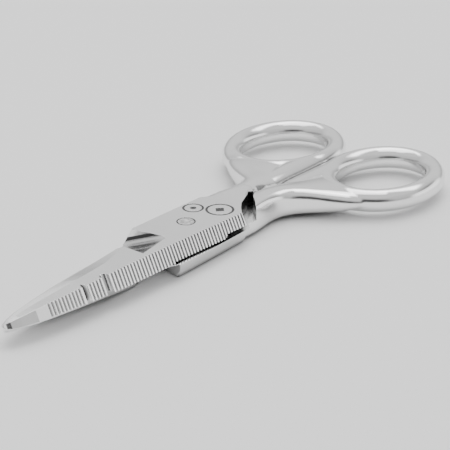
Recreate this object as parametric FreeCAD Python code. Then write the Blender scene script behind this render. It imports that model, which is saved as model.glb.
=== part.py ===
import FreeCAD, Part
import math
import os

V = FreeCAD.Vector
os.makedirs("parts", exist_ok=True)

# Row frame: origin on the pivot axis at the rest plane, +X toward the finger rings,
# +Y toward the upper half's ring, +Z up. Plan outlines are written in file pitches.
PITCH = 0.955            # mm, spacing of the file grooves; every plan outline scales by it
HALF_THICK = 4.0         # thickness of one half at the plate
PARTING = 4.0            # height of the plane where the two halves meet
INNER_GAP = 0.02         # each half stands this far back from the parting plane
PLATE_TOP = PARTING + HALF_THICK

PIN_RADIUS = 1.95        # pivot rivet in the upper half, peened flush
PIN_CLEARANCE = 0.05     # radial running clearance in the lower half
HEAD_RADIUS = 3.3        # countersunk rivet head, flush with the underside
HEAD_DEPTH = 1.35

RING_X = 57.9            # finger ring centre
RING_Y = 15.15
RING_A = 15.3            # centreline semi-axis along X
RING_B = 12.4            # centreline semi-axis along Y
RING_RADIAL = 2.65       # ring section, in plan
RING_UPRIGHT = 2.85      # ring section, vertical
SHANK_SIDE = 0.14        # each shank and ring stands this far from the closing plane

GROOVE_WIDTH = 0.62
GROOVE_DEPTH = 0.34

# Plate of the upper half: each row is a corner at the parting plane,
# then the same corner on the outer face.
PLATE = [
    (-22.0, -7.62, -22.0, -5.69),
    (-10.0, -8.1, -10.0, -6.2),
    (12.6, -9.4, 12.4, -7.5),
    (14.8, -6.0, 14.8, -5.3),
    (17.4, -3.6, 17.4, -3.4),
    (20.0, -2.3, 20.0, -2.3),
    (22.2, -1.3, 22.2, -1.3),
    (24.6, 0.2, 24.6, 0.2),
    (27.0, 0.4, 27.0, 0.4),
    (27.0, 4.0, 27.0, 3.2),
    (16.0, 6.6, 16.0, 5.0),
    (13.8, 8.8, 13.6, 6.8),
    (0.5, 9.2, 0.5, 7.2),
    (-13.1, 9.0, -11.3, 7.4),
    (-20.6, 2.7, -20.3, 2.3),
    (-22.0, 2.7, -22.0, 2.3),
]

# Blade stations: x, spine at the parting plane, spine thickness, inner line of the
# ground facet, cutting edge, height left at the cutting edge
BLADE = [
    (-62.0, -0.9, 1.1, -0.3, 0.2, 0.5),
    (-61.2, -1.7, 1.5, -0.3, 0.8, 0.6),
    (-59.0, -2.7, 2.0, -0.4, 1.7, 0.7),
    (-55.0, -3.9, 2.6, -0.6, 2.9, 0.8),
    (-49.0, -5.0, 3.05, -0.7, 3.5, 1.1),
    (-40.0, -6.3, 3.65, -0.8, 3.3, 2.1),
    (-30.0, -7.3, 4.15, -0.6, 2.8, 3.3),
    (-22.0, -7.62, 4.2, 1.6, 2.7, 4.1),
]
SPINE_LEAN = 0.46        # the spine face leans inward by this much per unit of height

# Shank and web of the upper half: x, inner side, outer side, half height, squareness
SHANK = [
    (12.5, 0.15, 7.6, 4.15, 4.0),
    (20.0, 0.15, 7.1, 4.15, 3.6),
    (26.0, 0.15, 6.6, 4.05, 3.2),
    (31.0, 0.15, 7.7, 3.85, 3.0),
    (35.0, 0.15, 11.6, 3.6, 2.7),
    (39.0, 0.2, 17.4, 3.3, 2.5),
    (43.0, 0.3, 21.8, 3.05, 2.3),
    (47.0, 0.8, 23.6, 2.7, 2.2),
    (50.5, 1.8, 21.5, 2.0, 2.1),
]
# Web between the shank and the inner side of its ring, same columns
WEB = [
    (30.0, 1.4, 4.0, 1.6, 2.2),
    (37.0, 0.3, 6.4, 2.9, 2.3),
    (44.0, 0.15, 7.6, 3.1, 2.3),
    (50.0, 0.15, 7.8, 3.05, 2.2),
    (55.0, 0.2, 6.6, 2.9, 2.1),
    (61.0, 0.3, 4.6, 2.4, 2.0),
]
VALLEY_START = 22.0      # the inner long edges of the shanks are bevelled behind this point
VALLEY_WIDTH = 1.6       # mm, bevel across
VALLEY_DEPTH = 1.9       # mm, bevel down

# Shoulder of the upper half below the parting plane: the shank starts behind this line.
SHOULDER = [
    (5.0, 14.0),
    (14.8, 10.2),
    (18.4, 7.4),
    (20.6, 5.2),
    (22.4, 3.2),
    (25.5, 1.2),
    (28.0, 0.0),
    (28.0, -3.0),
    (0.0, -3.0),
    (0.0, 14.0),
]

# Cable notch: a trough that runs down toward the nose. The profile is given across
# X as (x, height above the outer face) at one Y, and it travels along NOTCH_RUN.
NOTCH_PROFILE = [
    (-9.4, 6.0),
    (-9.4, 1.76),
    (-9.73, 0.54),
    (-10.3, 0.0),
    (-16.4, -0.375),
    (-20.8, -0.62),
    (-23.0, -0.75),
    (-23.0, 6.0),
]
NOTCH_Y = -2.4
NOTCH_RUN = (-0.26, 1.0, -0.375)
NOTCH_LEFT = -20.4       # left rim of the trough
POCKET = [(-16.2, -3.15), (-17.6, 2.3), (-20.1, 2.0), (-20.1, -3.75)]
POCKET_DROP = 3.2        # mm, the deeper pocket beside the left rim

FILE_SLOT = [(-13.0, -12.0), (4.4, -12.0), (4.4, -7.3), (-13.0, -6.7)]
FILE_SLOT_HEIGHT = 0.35
FILE_RELIEF_START = 4.3  # the file's lower edge is cut back behind this point
FILE_RELIEF_HEIGHT = 1.15


def plan(x, y, z):
    return V(x * PITCH, y * PITCH, z)


def wire(points):
    return Part.makePolygon(points + [points[0]])


def prism(points, low, high):
    base = [plan(x, y, low) for x, y in points]
    return Part.Face(wire(base)).extrude(V(0, 0, high - low))


def plate_body():
    inner = [plan(row[0], row[1], PARTING + INNER_GAP) for row in PLATE]
    outer = [plan(row[2], row[3], PLATE_TOP) for row in PLATE]
    return Part.makeLoft([wire(inner), wire(outer)], True, True)


def blade_section(x, spine, thick, facet, edge, edge_height):
    low = PARTING + INNER_GAP
    top = min(PARTING + thick * PITCH, PLATE_TOP)
    return wire([
        plan(x, spine, low),
        plan(x, spine + SPINE_LEAN * thick, top),
        plan(x, facet, top),
        plan(x, edge, PARTING + edge_height * PITCH),
        plan(x, edge, low),
    ])


def blade_body():
    return Part.makeLoft([blade_section(*row) for row in BLADE], True, True)


def shank_section(x, inner, outer, half_height, squareness):
    middle = (inner + outer) / 2
    half_width = (outer - inner) / 2
    points = []
    for i in range(20):
        angle = 2 * math.pi * (i + 0.5) / 20
        c = math.cos(angle)
        s = math.sin(angle)
        y = middle + half_width * math.copysign(abs(c) ** (2 / squareness), c)
        z = half_height * PITCH * math.copysign(abs(s) ** (2 / squareness), s)
        points.append(plan(x, y, PARTING + z))
    curve = Part.BSplineCurve()
    curve.interpolate(points, True)
    return Part.Wire([curve.toShape()])


def shank_body():
    body = Part.makeLoft([shank_section(*row) for row in SHANK], True, False)
    body = body.fuse(Part.makeLoft([shank_section(*row) for row in WEB], True, False))
    # a flat inner side keeps the two shanks apart
    side = Part.makeBox(200, 60, 40, V(-20, -60 + SHANK_SIDE, -10))
    body = body.cut(side)
    slab = Part.makeBox(200, 120, PLATE_TOP, V(-20, -40, 0.0))
    body = body.common(slab)
    clear = prism(SHOULDER, -5.0, PARTING + INNER_GAP)
    return body.cut(clear)


def valley_cut(upward):
    """Long bevel on one inner edge of the shank, fading in from the plate."""
    slope = VALLEY_DEPTH / (VALLEY_WIDTH - SHANK_SIDE)

    def corner(x, rise, scale):
        low = rise - (VALLEY_DEPTH + slope * (1.0 + SHANK_SIDE)) * scale
        points = [(-1.0, rise + 1.5), (-1.0, low), (VALLEY_WIDTH * scale + 1.5 / slope, rise + 1.5)]
        return wire([V(x * PITCH, y, PARTING + (z if upward else -z)) for y, z in points])

    rows = [(VALLEY_START, 4.0, 0.05), (29.0, 3.8, 1.0), (35.0, 3.4, 1.0),
            (43.0, 2.95, 1.0), (58.0, 2.75, 0.8)]
    return Part.makeLoft([corner(*row) for row in rows], True, True)


def ring_section(angle):
    across = RING_A * math.cos(angle)
    along = RING_B * math.sin(angle)
    slope_x = -RING_A * math.sin(angle)
    slope_y = RING_B * math.cos(angle)
    length = math.hypot(slope_x, slope_y)
    out_x = slope_y / length
    out_y = -slope_x / length
    points = []
    for i in range(16):
        turn = 2 * math.pi * (i + 0.5) / 16
        reach = RING_RADIAL * math.cos(turn)
        points.append(V(RING_X + across + out_x * reach, RING_Y + along + out_y * reach,
                        PARTING + RING_UPRIGHT * math.sin(turn)))
    curve = Part.BSplineCurve()
    curve.interpolate(points, True)
    return Part.Wire([curve.toShape()])


def ring_body():
    """Finger ring from four lofted quarters."""
    body = None
    steps = 7
    for quarter in range(4):
        start = math.radians(45 + 90 * quarter)
        sections = [ring_section(start + math.pi / 2 * i / steps) for i in range(steps + 1)]
        piece = Part.makeLoft(sections, True, False)
        body = piece if body is None else body.fuse(piece)
    return body


def ring_hole():
    major = RING_A - 0.35
    minor = RING_B - 0.35
    hole = Part.Ellipse(V(RING_X, RING_Y, -10), major, minor)
    return Part.Face(Part.Wire([hole.toShape()])).extrude(V(0, 0, 40))


def spine_y(x):
    """Spine position at the parting plane, in pitches."""
    corners = [(row[0], row[1]) for row in BLADE] + [(row[0], row[1]) for row in PLATE[1:3]]
    for (x0, y0), (x1, y1) in zip(corners, corners[1:]):
        if x0 <= x <= x1:
            return y0 + (y1 - y0) * (x - x0) / (x1 - x0)
    return corners[-1][1]


def spine_cut(x, width, depth, floor):
    """Groove across the spine face, running up the slope of that face."""
    y = spine_y(x) - SPINE_LEAN * 0.6 / PITCH
    points = [
        (x - width / 2 - 0.12, y - 1.2),
        (x + width / 2 + 0.12, y - 1.2),
        (x + width / 2, y),
        (x + floor / 2, y + depth),
        (x - floor / 2, y + depth),
        (x - width / 2, y),
    ]
    base = Part.Face(wire([plan(a, b, PARTING - 0.6) for a, b in points]))
    return base.extrude(V(0, SPINE_LEAN * 5.4, 5.4))


def file_grooves():
    cuts = []
    x = 11.9
    while x > -33.2:
        cuts.append(spine_cut(x, GROOVE_WIDTH, GROOVE_DEPTH, 0.2))
        x -= 1.04
    for x in (-36.5, -37.5, -38.5, -39.5):
        cuts.append(spine_cut(x, GROOVE_WIDTH, GROOVE_DEPTH, 0.2))
    for i in range(10):
        cuts.append(spine_cut(-42.7 - 0.98 * i, GROOVE_WIDTH, GROOVE_DEPTH, 0.2))
    return cuts


def wire_notches():
    # narrow V for thin wire
    small = spine_cut(-41.0, 1.5, 1.5, 0.3)
    # round notch for thicker wire
    disc = Part.Face(Part.Wire([Part.makeCircle(1.1 * PITCH, plan(-34.7, spine_y(-34.7) + 0.15, 3.4))]))
    large = disc.extrude(V(0, SPINE_LEAN * 5.4, 5.4))
    mouth = spine_cut(-34.7, 2.2, 0.2, 2.16)
    return [small, large, mouth]


def along_run(profile, start, length):
    back = start - NOTCH_Y
    base = [V((x + NOTCH_RUN[0] * back) * PITCH, start * PITCH,
              PLATE_TOP + (h + NOTCH_RUN[2] * back) * PITCH) for x, h in profile]
    return Part.Face(wire(base)).extrude(V(*NOTCH_RUN) * (length * PITCH))


def cable_notch():
    trough = along_run(NOTCH_PROFILE, -6.0, 18.0)
    right = prism([(NOTCH_LEFT, -8), (0, -8), (0, 14), (NOTCH_LEFT, 14)], 0, 20)
    pocket = prism(POCKET, PLATE_TOP - POCKET_DROP, PLATE_TOP + 1.0)
    return [trough.common(right), pocket]


def file_relief():
    start = FILE_RELIEF_START * PITCH
    z0 = PARTING - 1.0
    z1 = PARTING + FILE_RELIEF_HEIGHT
    points = [V(start, 0, z0), V(start + 0.1, 0, PARTING), V(start + 1.2, 0, z1),
              V(16 * PITCH, 0, z1), V(16 * PITCH, 0, z0)]
    face = Part.Face(wire(points))
    face.translate(V(0, -12 * PITCH, 0))
    slot = prism(FILE_SLOT, z0, PARTING + FILE_SLOT_HEIGHT)
    return [face.extrude(V(0, 5.9 * PITCH, 0)), slot]


def half():
    body = plate_body()
    body = body.fuse(blade_body())
    body = body.fuse(shank_body())
    body = body.cut(ring_hole())
    for upward in (False, True):
        body = body.cut(valley_cut(upward))
    body = body.fuse(ring_body())
    for tool in cable_notch():
        body = body.cut(tool)
    return body


def cylinder(radius, low, high):
    return Part.makeCylinder(radius, high - low, V(0, 0, low))


def marks():
    """Two plain etched marks on the plate: a ring round a diamond, and a small ring with a dot."""
    depth = 0.06
    low = PLATE_TOP - depth
    result = []
    cx = 10.7 * PITCH
    cy = -1.9 * PITCH
    outer = Part.makeCylinder(3.6 * PITCH, 1.0, V(cx, cy, low))
    result.append(outer.cut(Part.makeCylinder(3.0 * PITCH, 1.0, V(cx, cy, low))))
    diamond = [(10.7 - 1.5, -1.9), (10.7, -3.3), (10.7 + 1.5, -1.9), (10.7, -0.5)]
    result.append(prism(diamond, low, low + 1.0))
    cx = 7.4 * PITCH
    cy = 3.9 * PITCH
    outer = Part.makeCylinder(2.7 * PITCH, 1.0, V(cx, cy, low))
    result.append(outer.cut(Part.makeCylinder(2.15 * PITCH, 1.0, V(cx, cy, low))))
    result.append(Part.makeCylinder(0.8 * PITCH, 1.0, V(cx, cy, low)))
    return result


# upper half: file spine on -Y, ring on +Y
upper = half()
for tool in file_relief():
    upper = upper.cut(tool)
for tool in wire_notches():
    upper = upper.cut(tool)
upper = upper.cut(Part.makeCompound(file_grooves()))
upper = upper.cut(Part.makeCompound(marks()))
upper = upper.cut(cylinder(PIN_RADIUS, 0, 10))
upper = upper.cut(cylinder(PIN_RADIUS + 0.3, PLATE_TOP - 0.45, 10))

# lower half: the same forging turned over, plain spine, bored for the rivet
lower = half()
lower.rotate(V(0, 0, PARTING), V(1, 0, 0), 180)
lower = lower.cut(cylinder(PIN_RADIUS + PIN_CLEARANCE, -1, 10))
sink_rise = 0.5
sink_slope = (HEAD_RADIUS - PIN_RADIUS) / HEAD_DEPTH
sink = Part.makeCone(HEAD_RADIUS + PIN_CLEARANCE + sink_rise * sink_slope,
                     PIN_RADIUS + PIN_CLEARANCE, HEAD_DEPTH + sink_rise, V(0, 0, -sink_rise))
lower = lower.cut(sink)

# pivot rivet: countersunk head flush below, peened flush above
rivet = cylinder(PIN_RADIUS, 0.2, PLATE_TOP - 0.02)
head = Part.makeCone(HEAD_RADIUS, PIN_RADIUS, HEAD_DEPTH, V(0, 0, 0))
rivet = rivet.fuse(head)
rivet = rivet.removeSplitter()

for name, shape in (("upper_half", upper), ("lower_half", lower), ("pivot_rivet", rivet)):
    shape.exportStep("parts/" + name + ".step")
    print(name, "valid", shape.isValid(), "solids", len(shape.Solids),
          "volume", round(shape.Volume, 1))
print("overlap upper/lower", round(upper.common(lower).Volume, 4))
print("overlap rivet/lower", round(rivet.common(lower).Volume, 4))
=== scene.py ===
import bpy
import math
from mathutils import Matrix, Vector

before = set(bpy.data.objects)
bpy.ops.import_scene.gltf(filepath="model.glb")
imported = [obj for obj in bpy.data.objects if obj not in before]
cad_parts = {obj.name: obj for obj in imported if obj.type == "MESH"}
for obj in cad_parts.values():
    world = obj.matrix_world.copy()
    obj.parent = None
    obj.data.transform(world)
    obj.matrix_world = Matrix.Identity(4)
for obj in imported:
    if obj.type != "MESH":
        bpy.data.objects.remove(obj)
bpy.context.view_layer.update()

MM = 0.001


# ---------------------------------------------------------------- node helpers
class Nodes:
    """Short calls for building a node tree."""

    def __init__(self, tree):
        self.tree = tree
        tree.nodes.clear()

    def add(self, kind, **values):
        node = self.tree.nodes.new(kind)
        for name, value in values.items():
            setattr(node, name, value)
        return node

    def link(self, out, into):
        self.tree.links.new(out, into)

    def put(self, socket, value):
        if isinstance(value, bpy.types.NodeSocket):
            self.link(value, socket)
        else:
            socket.default_value = value

    def math(self, operation, a, b=0.0, clamp=False):
        node = self.add("ShaderNodeMath", operation=operation, use_clamp=clamp)
        self.put(node.inputs[0], a)
        self.put(node.inputs[1], b)
        return node.outputs[0]

    def remap(self, value, low, high, to_low, to_high, smooth=True):
        node = self.add("ShaderNodeMapRange", clamp=True)
        if smooth:
            node.interpolation_type = "SMOOTHSTEP"
        self.put(node.inputs["Value"], value)
        self.put(node.inputs["From Min"], low)
        self.put(node.inputs["From Max"], high)
        self.put(node.inputs["To Min"], to_low)
        self.put(node.inputs["To Max"], to_high)
        return node.outputs["Result"]

    def noise(self, vector, scale, detail=3.0, roughness=0.55):
        node = self.add("ShaderNodeTexNoise")
        self.put(node.inputs["Vector"], vector)
        node.inputs["Scale"].default_value = scale
        node.inputs["Detail"].default_value = detail
        node.inputs["Roughness"].default_value = roughness
        return node.outputs["Fac"]

    def stretched(self, vector, scale):
        node = self.add("ShaderNodeMapping")
        self.put(node.inputs["Vector"], vector)
        node.inputs["Scale"].default_value = scale
        return node.outputs["Vector"]


PITCH = 0.955 * MM       # file groove spacing, the plan unit of the CAD
PLATE_TOP = 8.0 * MM
HANDLE_START = 22 * MM   # the ground plate ends here, and the polished handle
HANDLE_FULL = 34 * MM    # has fully taken over here
RING_MARK = (10.7, -1.9)     # centres of the two etched marks, in pitches
DOT_MARK = (7.4, 3.9)
NOTCH_START = 2.4        # the cable notch's run: how far it leans and drops per pitch of Y
NOTCH_LEAN = 0.26
NOTCH_DROP = 0.375


def ring_mask(n, x, y, centre, inner, outer):
    """1 between two radii round a point on the plate, 0 elsewhere."""
    dx = n.math("SUBTRACT", x, centre[0] * PITCH)
    dy = n.math("SUBTRACT", y, centre[1] * PITCH)
    square = n.math("ADD", n.math("MULTIPLY", dx, dx), n.math("MULTIPLY", dy, dy))
    radius = n.math("SQRT", square)
    above = n.math("GREATER_THAN", radius, inner * PITCH)
    below = n.math("LESS_THAN", radius, outer * PITCH)
    return n.math("MULTIPLY", above, below)


def diamond_mask(n, x, y, centre, half_x, half_y):
    dx = n.math("ABSOLUTE", n.math("SUBTRACT", x, centre[0] * PITCH))
    dy = n.math("ABSOLUTE", n.math("SUBTRACT", y, centre[1] * PITCH))
    reach = n.math("ADD", n.math("DIVIDE", dx, half_x * PITCH),
                   n.math("DIVIDE", dy, half_y * PITCH))
    return n.math("LESS_THAN", reach, 1.0)


def etched_mask(n, x, y, z):
    """The two plain etched marks on the upper half's outer face."""
    marks = [
        ring_mask(n, x, y, RING_MARK, 3.0, 3.6),
        diamond_mask(n, x, y, RING_MARK, 1.5, 1.4),
        ring_mask(n, x, y, DOT_MARK, 2.15, 2.7),
        ring_mask(n, x, y, DOT_MARK, -1.0, 0.8),
    ]
    total = marks[0]
    for mark in marks[1:]:
        total = n.math("MAXIMUM", total, mark)
    low = n.math("GREATER_THAN", z, PLATE_TOP - 0.1 * MM)
    recess = n.math("LESS_THAN", z, PLATE_TOP - 0.03 * MM)
    return n.math("MULTIPLY", total, n.math("MULTIPLY", low, recess))


def notch_painted_shade_mask(n, x, y, z):
    """The steep strip at the foot of the cable notch's wall, given painted shade: a near-black
    colour standing in for the shadow and dark reflection there.
    """
    across = n.math("ADD", n.math("DIVIDE", y, PITCH), NOTCH_START)
    drop = n.math("DIVIDE", n.math("SUBTRACT", z, PLATE_TOP), PITCH)
    rise = n.math("ADD", drop, n.math("MULTIPLY", across, NOTCH_DROP))
    lean = n.math("MULTIPLY", across, NOTCH_LEAN)
    reach = n.math("ADD", n.math("DIVIDE", x, PITCH), lean)
    strip = n.math("MULTIPLY", n.math("GREATER_THAN", rise, 0.85),
                   n.math("LESS_THAN", rise, 1.76))
    inside = n.math("MULTIPLY", n.math("GREATER_THAN", reach, -9.9),
                    n.math("LESS_THAN", reach, -9.2))
    below = n.math("LESS_THAN", z, PLATE_TOP - 0.02 * MM)
    return n.math("MULTIPLY", strip, n.math("MULTIPLY", inside, below))


def plated_steel(name, marked_and_shaded=False):
    """Nickel plate over forged steel: ground and satin on the plate, brighter on the rings."""
    mat = bpy.data.materials.new(name)
    mat.use_nodes = True
    n = Nodes(mat.node_tree)
    out = n.add("ShaderNodeOutputMaterial")
    bsdf = n.add("ShaderNodeBsdfPrincipled")
    n.link(bsdf.outputs[0], out.inputs[0])
    coords = n.add("ShaderNodeTexCoord").outputs["Object"]
    split = n.add("ShaderNodeSeparateXYZ")
    n.link(coords, split.inputs[0])
    x, y, z = split.outputs[0], split.outputs[1], split.outputs[2]
    bsdf.inputs["Metallic"].default_value = 1.0
    haze = n.noise(coords, 45.0, 4.0)
    specks = n.noise(coords, 900.0, 3.0, 0.65)
    grain = n.noise(n.stretched(coords, (500.0, 6500.0, 6500.0)), 1.0, 2.0)
    handle = n.remap(x, HANDLE_START, HANDLE_FULL, 0.0, 1.0)

    tone = n.remap(haze, 0.3, 0.7, 0.0, 1.0)
    ramp = n.add("ShaderNodeValToRGB")
    ramp.color_ramp.elements[0].color = (0.82, 0.82, 0.822, 1)
    ramp.color_ramp.elements[1].color = (0.87, 0.87, 0.868, 1)
    n.link(tone, ramp.inputs[0])
    color = ramp.outputs[0]

    rough = n.math("ADD", 0.13, n.math("MULTIPLY", tone, 0.03))
    rough = n.math("ADD", rough, n.remap(grain, 0.35, 0.65, 0.0, 0.05))
    rough = n.math("ADD", rough, n.remap(specks, 0.55, 0.75, 0.0, 0.03))
    smooth = n.math("ADD", 0.07, n.math("MULTIPLY", tone, 0.025))
    level = n.add("ShaderNodeMix", data_type="FLOAT")
    n.put(level.inputs[0], handle)
    n.put(level.inputs[2], rough)
    n.put(level.inputs[3], smooth)
    rough = level.outputs[0]
    if marked_and_shaded:
        # the real etched marks and the painted shade at the notch's foot share one near-black
        # colour
        etched_and_painted_shade = n.math("MAXIMUM", etched_mask(n, x, y, z), notch_painted_shade_mask(n, x, y, z))
        mix = n.add("ShaderNodeMix", data_type="RGBA")
        n.put(mix.inputs[0], etched_and_painted_shade)
        n.link(color, mix.inputs[6])
        mix.inputs[7].default_value = (0.07, 0.07, 0.07, 1)
        color = mix.outputs[2]
        rough = n.math("MAXIMUM", rough, n.math("MULTIPLY", etched_and_painted_shade, 0.45))
    # painted shade: hollows see less of the room, so ambient occlusion darkens their base
    # colour
    hollow = n.add("ShaderNodeAmbientOcclusion", samples=8)
    hollow.inputs["Distance"].default_value = 1.8 * MM
    shade = n.remap(hollow.outputs["AO"], 0.30, 0.85, 0.10, 1.0, smooth=False)
    painted_shade_mix = n.add("ShaderNodeMix", data_type="RGBA", blend_type="MULTIPLY")
    painted_shade_mix.inputs[0].default_value = 1.0
    n.link(color, painted_shade_mix.inputs[6])
    n.link(shade, painted_shade_mix.inputs[7])
    color = painted_shade_mix.outputs[2]
    n.link(color, bsdf.inputs["Base Color"])
    n.link(rough, bsdf.inputs["Roughness"])
    # small rounding on the ground edges, generous blends on the handles
    soft = n.add("ShaderNodeBevel", samples=6)
    rounding = n.remap(x, HANDLE_START, HANDLE_FULL, 0.10 * MM, 0.9 * MM)
    n.put(soft.inputs["Radius"], rounding)
    bump = n.add("ShaderNodeBump")
    n.link(soft.outputs["Normal"], bump.inputs["Normal"])
    bump.inputs["Strength"].default_value = 0.12
    bump.inputs["Distance"].default_value = 0.00001
    fade = n.math("SUBTRACT", 1.0, n.math("MULTIPLY", handle, 0.8))
    height = n.math("MULTIPLY", grain, fade)
    n.link(height, bump.inputs["Height"])
    n.link(bump.outputs[0], bsdf.inputs["Normal"])
    return mat


def rivet_steel(name="rivet_steel"):
    """Ground steel with rings left by the peening tool."""
    mat = bpy.data.materials.new(name)
    mat.use_nodes = True
    n = Nodes(mat.node_tree)
    out = n.add("ShaderNodeOutputMaterial")
    bsdf = n.add("ShaderNodeBsdfPrincipled")
    n.link(bsdf.outputs[0], out.inputs[0])
    coords = n.add("ShaderNodeTexCoord").outputs["Object"]
    bsdf.inputs["Metallic"].default_value = 1.0
    mottle = n.noise(coords, 1100.0, 4.0)
    ramp = n.add("ShaderNodeValToRGB")
    ramp.color_ramp.elements[0].color = (0.50, 0.50, 0.50, 1)
    ramp.color_ramp.elements[1].color = (0.80, 0.80, 0.80, 1)
    n.link(n.remap(mottle, 0.35, 0.65, 0.0, 1.0), ramp.inputs[0])
    n.link(ramp.outputs[0], bsdf.inputs["Base Color"])
    n.link(n.remap(mottle, 0.3, 0.7, 0.22, 0.38), bsdf.inputs["Roughness"])
    rings = n.add("ShaderNodeTexWave", wave_type="RINGS", rings_direction="Z")
    rings.inputs["Scale"].default_value = 700.0
    n.link(coords, rings.inputs["Vector"])
    bump = n.add("ShaderNodeBump")
    bump.inputs["Strength"].default_value = 0.3
    bump.inputs["Distance"].default_value = 0.00003
    n.link(n.math("ADD", rings.outputs["Fac"], mottle), bump.inputs["Height"])
    n.link(bump.outputs[0], bsdf.inputs["Normal"])
    return mat


FINISHES = {
    "upper_half": plated_steel("plated_steel_marked_and_shaded", marked_and_shaded=True),
    "lower_half": plated_steel("plated_steel"),
    "pivot_rivet": rivet_steel(),
}
for name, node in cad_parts.items():
    for slot in node.material_slots:
        slot.material = FINISHES[name]

# ---------------------------------------------------------------- floor, light, camera
bpy.ops.mesh.primitive_plane_add(size=8.0, location=(0, 0, -0.0002))
floor = bpy.context.object
floor.name = "floor"
floor_mat = bpy.data.materials.new("floor_pale")
floor_mat.use_nodes = True
floor_bsdf = floor_mat.node_tree.nodes["Principled BSDF"]
floor_bsdf.inputs["Base Color"].default_value = (0.95, 0.95, 0.95, 1)
floor_bsdf.inputs["Roughness"].default_value = 0.9
floor.data.materials.append(floor_mat)

world = bpy.data.worlds.new("studio")
bpy.context.scene.world = world
world.use_nodes = True
w = Nodes(world.node_tree)
w_out = w.add("ShaderNodeOutputWorld")
w_bg = w.add("ShaderNodeBackground")
w.link(w_bg.outputs[0], w_out.inputs[0])
sky = w.add("ShaderNodeTexCoord").outputs["Generated"]
sky_split = w.add("ShaderNodeSeparateXYZ")
w.link(sky, sky_split.inputs[0])
height = sky_split.outputs[2]


def facing(azimuth):
    """Cosine between the sky direction and a compass direction, measured in the row frame."""
    a = math.radians(azimuth)
    east = w.math("MULTIPLY", sky_split.outputs[0], math.cos(a))
    north = w.math("MULTIPLY", sky_split.outputs[1], math.sin(a))
    return w.math("ADD", east, north)


def mix_sky(base, other, amount):
    keep = w.math("SUBTRACT", 1.0, amount)
    return w.math("ADD", w.math("MULTIPLY", base, keep), w.math("MULTIPLY", other, amount))


def rising(low, high):
    """0 below one height in the sky, 1 above the other. Heights are sines of elevation."""
    return w.remap(height, low, high, 0.0, 1.0)


def falling(low, high):
    return w.remap(height, low, high, 1.0, 0.0)


def toward(azimuth, edge, core):
    """1 round a compass direction. Edge and core are cosines of the angle away from it."""
    return w.remap(facing(azimuth), edge, core, 0.0, 1.0)


def both(a, b):
    return w.math("MULTIPLY", a, b)


# wall of the light tent, brighter on the far side
tent = w.remap(height, 0.0, 0.45, 0.58, 0.80)
tent = mix_sky(tent, 1.05, both(toward(40.0, 0.35, 0.80), rising(0.05, 0.36)))
# roof panel, and the lamp seen through its far part
tent = mix_sky(tent, 0.95, rising(0.52, 0.72))
tent = mix_sky(tent, 3.8, both(toward(20.0, 0.22, 0.42), rising(0.66, 0.76)))
# bright side panel
tent = mix_sky(tent, 2.0, both(toward(-42.0, 0.78, 0.93), falling(0.24, 0.38)))
# dark opening behind the camera
tent = mix_sky(tent, 0.08, both(toward(218.0, 0.70, 0.95), falling(0.35, 0.55)))
# dark edge low on the left
tent = mix_sky(tent, 0.15, both(toward(141.0, 0.70, 0.92), falling(0.10, 0.35)))
# dark strip above the side panel
strip = both(toward(-37.0, 0.80, 0.92), rising(0.34, 0.40))
tent = mix_sky(tent, 0.22, both(strip, falling(0.50, 0.58)))
w.link(tent, w_bg.inputs["Strength"])
w_bg.inputs["Color"].default_value = (1, 1, 1, 1)


def area_light(name, location, target, size, power):
    data = bpy.data.lights.new(name, "AREA")
    data.energy = power
    data.size = size
    obj = bpy.data.objects.new(name, data)
    bpy.context.collection.objects.link(obj)
    obj.location = location
    aim = Vector(target) - Vector(location)
    obj.rotation_euler = aim.to_track_quat("-Z", "Y").to_euler()
    return obj


area_light("roof", (0.1, 0.1, 0.9), (0, 0, 0), 0.6, 2.5)

CAMERA_AT = (-0.29367, -0.24683, 0.17782)
CAMERA_LOOK = (0.71296, 0.57119, -0.40674)
CAMERA_LENS = 145.04

camera_data = bpy.data.cameras.new("camera")
camera_data.sensor_width = 36.0
camera_data.lens = CAMERA_LENS
camera_data.clip_start = 0.01
camera = bpy.data.objects.new("camera", camera_data)
bpy.context.collection.objects.link(camera)
camera.location = CAMERA_AT
camera.rotation_euler = Vector(CAMERA_LOOK).to_track_quat("-Z", "Y").to_euler()
bpy.context.scene.camera = camera
